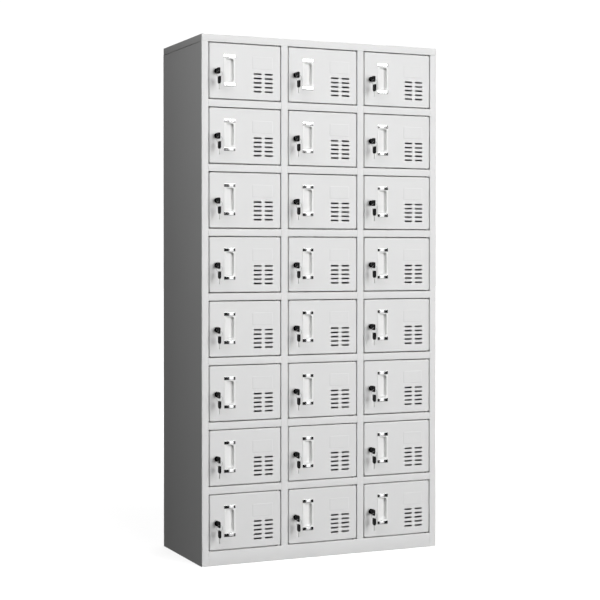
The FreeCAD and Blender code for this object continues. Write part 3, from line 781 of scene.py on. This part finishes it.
def make_lock_case():
    mesh = bmesh.new()
    course = [(BORE_RADIUS, BARREL_LENGTH), (BORE_RADIUS, -BEZEL_THICKNESS + BEZEL_ROUND),
              (BORE_RADIUS + BEZEL_ROUND, -BEZEL_THICKNESS)]
    course += [(BEZEL_FACE - inset, deep - BEZEL_THICKNESS) for inset, deep in round_edge(BEZEL_ROUND)[1:]]
    course += [(BEZEL_RADIUS, -BEZEL_ROUND), (BEZEL_RADIUS, 0), (BARREL_RADIUS, 0)]
    threads = int((BARREL_LENGTH - SHEET) / THREAD_PITCH)
    for turn in range(threads):
        start = SHEET + turn * THREAD_PITCH
        course += [(BARREL_RADIUS - THREAD_DEPTH, start), (BARREL_RADIUS, start + THREAD_PITCH / 2)]
    course += [(BARREL_RADIUS - THREAD_DEPTH, BARREL_LENGTH), (BORE_RADIUS, BARREL_LENGTH)]
    add_turned(mesh, course, LOCK_INSET, LOCK_HEIGHT)
    hexagon = circle(LOCK_INSET, LOCK_HEIGHT, NUT_WIDTH / math.sqrt(3), NUT_SIDES)
    add_prism(mesh, hexagon, SHEET, SHEET + NUT_THICKNESS, doorward)
    return mesh_data("lock_case", mesh)


satin_nickel = metal_material(
    "satin_nickel",
    shades=((0.76, 0.76, 0.755), (0.84, 0.84, 0.83)),
    gloss=(0.40, 0.52),
    lines=900.0,
    smears=140.0,
    scratch=0.004 * MM,
)
lock_case = make_lock_case()
for spot, place in spots.items():
    fit(f"lock_case_{spot}", lock_case, satin_nickel, f"door_{spot}", (), place)

# Lock plugs and cams
# A die-cast plug turns in the case with the key. Behind the door it carries a flat steel cam, held by a
# screw, that reaches behind the stile or mullion when the lock is turned.
PLUG_PROUD = 0.5 * MM
PLUG_FACE = -BEZEL_THICKNESS - PLUG_PROUD
CAM_GAP, CAM_THICKNESS = 1 * MM, 2 * MM
CAM_FRONT = BARREL_LENGTH + CAM_GAP
CAM_BACK = CAM_FRONT + CAM_THICKNESS
CAM_WIDTH, CAM_REACH = 14 * MM, 35 * MM
CAM_CORNER, CAM_EDGE = 2 * MM, 0.3 * MM
SCREW_HEAD_RADIUS, SCREW_HEAD_HEIGHT = 4.5 * MM, 2.5 * MM
CENTRE_RADIUS = 0.1 * MM
BEVEL_STEPS = 2


def plate(name, outlines, thickness, edge):
    """A flat piece with round edges, from its outline and those of its holes, in the plane of x and y."""
    drawing = bpy.data.curves.new(name, "CURVE")
    drawing.dimensions = "2D"
    drawing.fill_mode = "BOTH"
    drawing.extrude = thickness / 2 - edge
    drawing.bevel_depth = edge
    drawing.bevel_resolution = BEVEL_STEPS
    drawing.offset = -edge
    for outline in outlines:
        spline = drawing.splines.new("POLY")
        spline.points.add(len(outline) - 1)
        for point, (x, y) in zip(spline.points, outline):
            point.co = (x, y, 0, 1)
        spline.use_cyclic_u = True
    made = drawn_mesh(new_object(name, drawing))
    bpy.data.curves.remove(drawing)
    return made


def add_plate(mesh, data, turn):
    """Adds a plate to a bmesh, turned from its plane into the lock's frame."""
    data.transform(turn)
    mesh.from_mesh(data)
    bpy.data.meshes.remove(data)


def make_plug_and_cam():
    mesh = bmesh.new()
    plug_front = PLUG_FACE + BEZEL_ROUND
    plug = [(CENTRE_RADIUS, plug_front), (PLUG_RADIUS, plug_front)]
    plug += [(PLUG_RADIUS, CAM_FRONT), (CENTRE_RADIUS, CAM_FRONT)]
    face, end = add_turned(mesh, plug)
    mesh.faces.new(face)
    mesh.faces.new(end)
    half = CAM_WIDTH / 2
    head = [(half * math.cos(math.pi * step / ROUND_STEPS), half * math.sin(math.pi * step / ROUND_STEPS))
            for step in range(ROUND_STEPS + 1)]
    foot = rounded_outline(-half, half, -CAM_REACH, 0, CAM_CORNER)
    lower = [point for point in foot if point[1] < -CAM_CORNER]
    right = [point for point in lower if point[0] > 0]
    left = [point for point in lower if point[0] < 0]
    strip = plate("cam", [head + left + right], CAM_THICKNESS, CAM_EDGE)
    to_lock = Matrix.Translation((0, (CAM_FRONT + CAM_BACK) / 2, 0)) @ Matrix.Rotation(RIGHT_ANGLE, 4, "X")
    add_plate(mesh, strip, to_lock)
    screw_top = CAM_BACK + SCREW_HEAD_HEIGHT
    screw = [(CENTRE_RADIUS, CAM_BACK), (SCREW_HEAD_RADIUS, CAM_BACK)]
    screw += [(SCREW_HEAD_RADIUS, screw_top - BEZEL_ROUND), (SCREW_HEAD_RADIUS - BEZEL_ROUND, screw_top)]
    screw.append((CENTRE_RADIUS, screw_top))
    near, far = add_turned(mesh, screw)
    mesh.faces.new(near)
    mesh.faces.new(far)
    return mesh_data("plug_and_cam", mesh)


plug_and_cam = make_plug_and_cam()
lock_spots = {spot: place + Vector((LOCK_INSET, 0, LOCK_HEIGHT)) for spot, place in spots.items()}
for spot, place in lock_spots.items():
    lock = f"lock_{spot}"
    fit(f"plug_and_cam_{spot}", plug_and_cam, zinc_plate, lock, [lock], place)

# Keys
# A stamped blade, nickel plated, moulded into a black bow that widens away from the lock and has a hole for
# a ring. The key sags a little in its keyway. A black enamelled dust cover turns with the plug.
black_plastic = grained_material(
    "black_plastic",
    shades=((0.004, 0.004, 0.0045), (0.008, 0.008, 0.0085)),
    gloss=(0.50, 0.62),
    grain=1500.0,
    drift=90.0,
    peel=0.01 * MM,
    Specular_IOR_Level=0.2,
)
KEY_NECK, KEY_SAG = 5 * MM, math.radians(2.5)
BOW_LENGTH, BOW_WIDTH, BOW_NECK = 25 * MM, 21 * MM, 10 * MM
BOW_SHOULDER = 5 * MM
BOW_THICKNESS, BOW_EDGE = 5 * MM, 1.2 * MM
BOW_CORNERS = (1.5 * MM, 3 * MM, 4 * MM)
RING_HOLE, RING_HOLE_EDGE, RING_HOLE_STEPS = 1.5 * MM, 2.5 * MM, 32
BLADE_THICKNESS, BLADE_WIDTH, BLADE_LENGTH = 2 * MM, 7 * MM, 22 * MM
BLADE_EDGE = 0.25 * MM
CUT_DEPTHS = (1.2 * MM, 0.5 * MM, 1.6 * MM, 0.8 * MM)
CUT_START_SHARE, CUT_MOUTH_SHARE, CUT_FLOOR_SHARE = 1.2, 0.45, 0.15
COVER_RADIUS, COVER_ROUND = 9.2 * MM, 0.4 * MM


def rounded_corners(corners, radii):
    """A closed outline through the corners, each rounded to its own radius."""
    start = (Vector(corners[0]) + Vector(corners[-1])) / 2
    return [tuple(point) for point in bent_line([start, *corners, start], radii)[1:-1]]


def bow_outlines():
    """Outline and hole of a bow: x runs out from the lock, y across."""
    side = [(0, BOW_NECK / 2), (BOW_SHOULDER, BOW_WIDTH / 2), (BOW_LENGTH, BOW_WIDTH / 2)]
    outline = rounded_corners([(x, -y) for x, y in side] + side[::-1], BOW_CORNERS + BOW_CORNERS[::-1])
    hole = circle(BOW_LENGTH - RING_HOLE_EDGE - RING_HOLE, 0, RING_HOLE, RING_HOLE_STEPS)
    return [outline, hole[::-1]]


def blade_outline():
    """Outline of a blade: x runs out of the bow towards the tip, with a row of cuts along one edge."""
    half = BLADE_WIDTH / 2
    pitch = BLADE_LENGTH / (len(CUT_DEPTHS) + 2)
    points = [(0, -half), (BLADE_LENGTH - half, -half), (BLADE_LENGTH, 0), (BLADE_LENGTH - half, half)]
    for index, depth in reversed(list(enumerate(CUT_DEPTHS))):
        middle = pitch * (index + CUT_START_SHARE)
        mouth, ground = pitch * CUT_MOUTH_SHARE, pitch * CUT_FLOOR_SHARE
        points += [(middle + mouth, half), (middle + ground, half - depth),
                   (middle - ground, half - depth), (middle - mouth, half)]
    points.append((0, half))
    return points


def key_turn(base, outward, across):
    """A matrix from a key's drawing to the lock's frame: x to outward, y to across, the origin to base."""
    outward, across = Vector(outward), Vector(across)
    through = outward.cross(across)
    return Matrix.Translation(base) @ Matrix((outward, across, through)).transposed().to_4x4()


def make_bow(name, turn):
    mesh = bmesh.new()
    add_plate(mesh, plate(name, bow_outlines(), BOW_THICKNESS, BOW_EDGE), turn)
    return mesh_data(name, mesh)


key_out = Vector((0, -math.cos(KEY_SAG), -math.sin(KEY_SAG)))
key_up = Vector((0, -math.sin(KEY_SAG), math.cos(KEY_SAG)))
keyhole = Vector((0, PLUG_FACE, 0))
bow_base = keyhole + key_out * KEY_NECK
key_bow = make_bow("key_bow", key_turn(bow_base, key_out, key_up))
blade_mesh = bmesh.new()
blade_plate = plate("key_blade", [blade_outline()], BLADE_THICKNESS, BLADE_EDGE)
add_plate(blade_mesh, blade_plate, key_turn(bow_base + key_out * KEY_NECK / 2, -key_out, key_up))
key_blade = mesh_data("key_blade", blade_mesh)
cover_mesh = bmesh.new()
cover_front, cover_back = add_turned(cover_mesh, [
    (CENTRE_RADIUS, PLUG_FACE),
    (COVER_RADIUS - COVER_ROUND, PLUG_FACE),
    (COVER_RADIUS, PLUG_FACE + COVER_ROUND),
    (CENTRE_RADIUS, PLUG_FACE + COVER_ROUND),
])
cover_mesh.faces.new(cover_front)
cover_mesh.faces.new(cover_back)
dust_cover = mesh_data("dust_cover", cover_mesh)
black_enamel = grained_material(
    "black_enamel",
    shades=((0.004, 0.004, 0.0045), (0.007, 0.007, 0.0075)),
    gloss=(0.10, 0.18),
    grain=1500.0,
    drift=90.0,
    peel=0.0004 * MM,
    Specular_IOR_Level=0.2,
)
for spot, place in lock_spots.items():
    fit(f"key_bow_{spot}", key_bow, black_plastic, f"lock_{spot}", (), place)
    fit(f"key_blade_{spot}", key_blade, satin_nickel, f"lock_{spot}", (), place)
    fit(f"dust_cover_{spot}", dust_cover, black_enamel, f"lock_{spot}", (), place)

# Spare keys
# A split ring of two turns of steel wire, through the bow of the key in the lock, carries a second key of
# the same kind. It hangs straight down, so it rides on the door and not on the lock.
RING_RADIUS, RING_WIRE = 10.5 * MM, 0.4 * MM
RING_TURNS, RING_STEPS = 2, 40
hole_middle = bow_base + key_out * (BOW_LENGTH - RING_HOLE_EDGE - RING_HOLE)
ring_top = hole_middle.z - RING_HOLE + RING_WIRE
ring_middle = Vector((0, hole_middle.y, ring_top - RING_RADIUS))
spare_top = ring_top - 2 * RING_RADIUS + RING_WIRE + RING_HOLE_EDGE


def make_split_ring():
    wire = bpy.data.curves.new("split_ring", "CURVE")
    wire.dimensions = "3D"
    wire.bevel_depth = RING_WIRE
    wire.bevel_resolution = BEVEL_STEPS
    wire.use_fill_caps = True
    spline = wire.splines.new("POLY")
    count = RING_TURNS * RING_STEPS
    spline.points.add(count)
    for step in range(count + 1):
        turn = 2 * math.pi * step / RING_STEPS
        lift = (step / count - 0.5) * 2 * RING_WIRE * RING_TURNS
        offset = Vector((RING_RADIUS * math.cos(turn), lift, RING_RADIUS * math.sin(turn)))
        spline.points[step].co = (*(ring_middle + offset), 1)
    made = drawn_mesh(new_object("split_ring", wire))
    bpy.data.curves.remove(wire)
    mesh = bmesh.new()
    mesh.from_mesh(made)
    bpy.data.meshes.remove(made)
    return mesh_data("split_ring", mesh)


split_ring = make_split_ring()
spare_blade_mesh = bmesh.new()
spare_plate = plate("spare_blade", [blade_outline()], BLADE_THICKNESS, BLADE_EDGE)
below_bow = Vector((0, hole_middle.y, spare_top - BOW_LENGTH + KEY_NECK / 2))
add_plate(spare_blade_mesh, spare_plate, key_turn(below_bow, (0, 0, -1), (0, 1, 0)))
spare_blade = mesh_data("spare_blade", spare_blade_mesh)
spare_base = Vector((0, hole_middle.y, spare_top - BOW_LENGTH))
spare_bow = make_bow("spare_bow", key_turn(spare_base, (0, 0, 1), (0, 1, 0)))
for spot, place in lock_spots.items():
    fit(f"split_ring_{spot}", split_ring, zinc_plate, f"door_{spot}", (), place)
    fit(f"spare_blade_{spot}", spare_blade, satin_nickel, f"door_{spot}", (), place)
    fit(f"spare_bow_{spot}", spare_bow, black_plastic, f"door_{spot}", (), place)

# Studio
# A white sweep that glows softly, a wide bank of light high in front, a soft box and a white panel at the
# right, and a weak fill at the left. A dim room shows in bright metal, and its far corner lights the back.
FLOOR_REACH = 40.0
floor_material, floor_tree, floor_shader = new_material("pale_floor", Roughness=0.8)
floor_shader.inputs["Base Color"].default_value = (0.8, 0.8, 0.8, 1)
floor_shader.inputs["Emission Color"].default_value = (1, 1, 1, 1)
floor_place = add_node(floor_tree, "ShaderNodeTexCoord")
floor_distance = add_node(floor_tree, "ShaderNodeVectorMath", operation="LENGTH")
floor_glow = add_node(floor_tree, "ShaderNodeMapRange",
                      inputs={"From Min": 0.5, "From Max": 4.0, "To Min": 0.72, "To Max": 1.05})
floor_tree.links.new(floor_place.outputs["Object"], floor_distance.inputs[0])
floor_tree.links.new(floor_distance.outputs["Value"], floor_glow.inputs["Value"])
floor_tree.links.new(floor_glow.outputs["Result"], floor_shader.inputs["Emission Strength"])
floor_shape = bmesh.new()
bmesh.ops.create_grid(floor_shape, x_segments=1, y_segments=1, size=FLOOR_REACH)
studio_floor = new_object("studio_floor", mesh_data("studio_floor", floor_shape))
studio_floor.data.materials.append(floor_material)
studio_floor.visible_diffuse = False
studio_floor.visible_glossy = False

# The camera sees plain white, and bright metal mirrors a dim room with a paler ceiling and ground. All else
# gets hardly any light from around, apart from a glow from behind on the right.
world = bpy.data.worlds.new("surround")
world.use_nodes = True
bpy.context.scene.world = world
sky_tree = world.node_tree
surround = sky_tree.nodes["Background"]
SURROUND_LIGHT, BACK_LIGHT = 0.012, 2.2
CEILING_LIGHT, GROUND_LIGHT = 0.3, 0.2
surround.inputs["Color"].default_value = (1, 1, 1, 1)
backdrop = add_node(sky_tree, "ShaderNodeBackground", inputs={"Color": (1, 1, 1, 1), "Strength": 1.05})
room = add_node(sky_tree, "ShaderNodeBackground", inputs={"Color": (1, 1, 1, 1)})
direction = add_node(sky_tree, "ShaderNodeTexCoord")
compass = add_node(sky_tree, "ShaderNodeSeparateXYZ")
ceiling = add_node(sky_tree, "ShaderNodeMapRange",
                   inputs={"From Min": 0.3, "From Max": 0.7,
                           "To Min": SURROUND_LIGHT, "To Max": CEILING_LIGHT})
ground = add_node(sky_tree, "ShaderNodeMapRange",
                  inputs={"From Min": -0.25, "From Max": -0.5, "To Min": 0.0, "To Max": GROUND_LIGHT})
room_light = add_node(sky_tree, "ShaderNodeMath", operation="ADD")
right_share = add_node(sky_tree, "ShaderNodeMath", operation="MAXIMUM", inputs={1: 0.0})
back_share = add_node(sky_tree, "ShaderNodeMath", operation="MAXIMUM", inputs={1: 0.0})
behind = add_node(sky_tree, "ShaderNodeMath", operation="MULTIPLY")
glow = add_node(sky_tree, "ShaderNodeMath", operation="MULTIPLY_ADD",
                inputs={1: BACK_LIGHT, 2: SURROUND_LIGHT})
path = add_node(sky_tree, "ShaderNodeLightPath")
seen_in_gloss = add_node(sky_tree, "ShaderNodeMixShader")
seen_by_camera = add_node(sky_tree, "ShaderNodeMixShader")
for source, socket in (
    (direction.outputs["Generated"], compass.inputs["Vector"]),
    (compass.outputs["X"], right_share.inputs[0]),
    (compass.outputs["Y"], back_share.inputs[0]),
    (right_share.outputs["Value"], behind.inputs[0]),
    (back_share.outputs["Value"], behind.inputs[1]),
    (behind.outputs["Value"], glow.inputs[0]),
    (glow.outputs["Value"], surround.inputs["Strength"]),
    (compass.outputs["Z"], ceiling.inputs["Value"]),
    (compass.outputs["Z"], ground.inputs["Value"]),
    (ceiling.outputs["Result"], room_light.inputs[0]),
    (ground.outputs["Result"], room_light.inputs[1]),
    (room_light.outputs["Value"], room.inputs["Strength"]),
    (path.outputs["Is Glossy Ray"], seen_in_gloss.inputs["Fac"]),
    (surround.outputs["Background"], seen_in_gloss.inputs[1]),
    (room.outputs["Background"], seen_in_gloss.inputs[2]),
    (path.outputs["Is Camera Ray"], seen_by_camera.inputs["Fac"]),
    (seen_in_gloss.outputs["Shader"], seen_by_camera.inputs[1]),
    (backdrop.outputs["Background"], seen_by_camera.inputs[2]),
    (seen_by_camera.outputs["Shader"], sky_tree.nodes["World Output"].inputs["Surface"]),
):
    sky_tree.links.new(source, socket)

LIGHT_TARGET = Vector((0, 0, 1))


def soft_light(name, place, width, height, power):
    """A soft box that faces the middle of the locker."""
    lamp = bpy.data.lights.new(name, "AREA")
    lamp.shape = "RECTANGLE"
    lamp.size = width
    lamp.size_y = height
    lamp.energy = power
    box = new_object(name, lamp)
    box.location = place
    box.rotation_euler = (LIGHT_TARGET - Vector(place)).to_track_quat("-Z", "Y").to_euler()
    box.visible_camera = False
    return box


soft_light("bank_light", place=(5.4, -15.0, 6.0), width=14.4, height=5.6, power=1110)
right_light = soft_light("right_light", place=(3.7, -8.2, 1.9), width=6.0, height=4.0, power=445)
soft_light("white_panel", place=(3.7, -8.2, 0.35), width=2.4, height=4.0, power=40)
left_fill = soft_light("left_fill", place=(-3.2, -3.0, 4.2), width=2.4, height=2.4, power=100)
for unseen in (right_light, left_fill):
    unseen.visible_glossy = False

# Camera
# At the left of the front, almost level, with the small shift that the photograph's framing needs.
# Its place and turn come from a fit to the locker's outline and its door gaps.
SENSOR = 36.0
IMAGE_SIZE = 600
FOCAL_PIXELS = 1474.3
VIEW_TURN = math.radians(23.917)
VIEW_DROP = math.radians(0.67)
HORIZON_ABOVE_MIDDLE = 44.2
VIEW_PLACE = (-2.161, -4.875, 1.052)
camera_data = bpy.data.cameras.new("camera")
camera_data.sensor_width = SENSOR
camera_data.lens = SENSOR * FOCAL_PIXELS / IMAGE_SIZE
camera_data.shift_y = -(HORIZON_ABOVE_MIDDLE - FOCAL_PIXELS * math.tan(VIEW_DROP)) / IMAGE_SIZE
camera = new_object("camera", camera_data)
camera.location = VIEW_PLACE
camera.rotation_euler = (RIGHT_ANGLE - VIEW_DROP, 0, -VIEW_TURN)
bpy.context.scene.camera = camera
bpy.context.scene.view_settings.view_transform = "Standard"
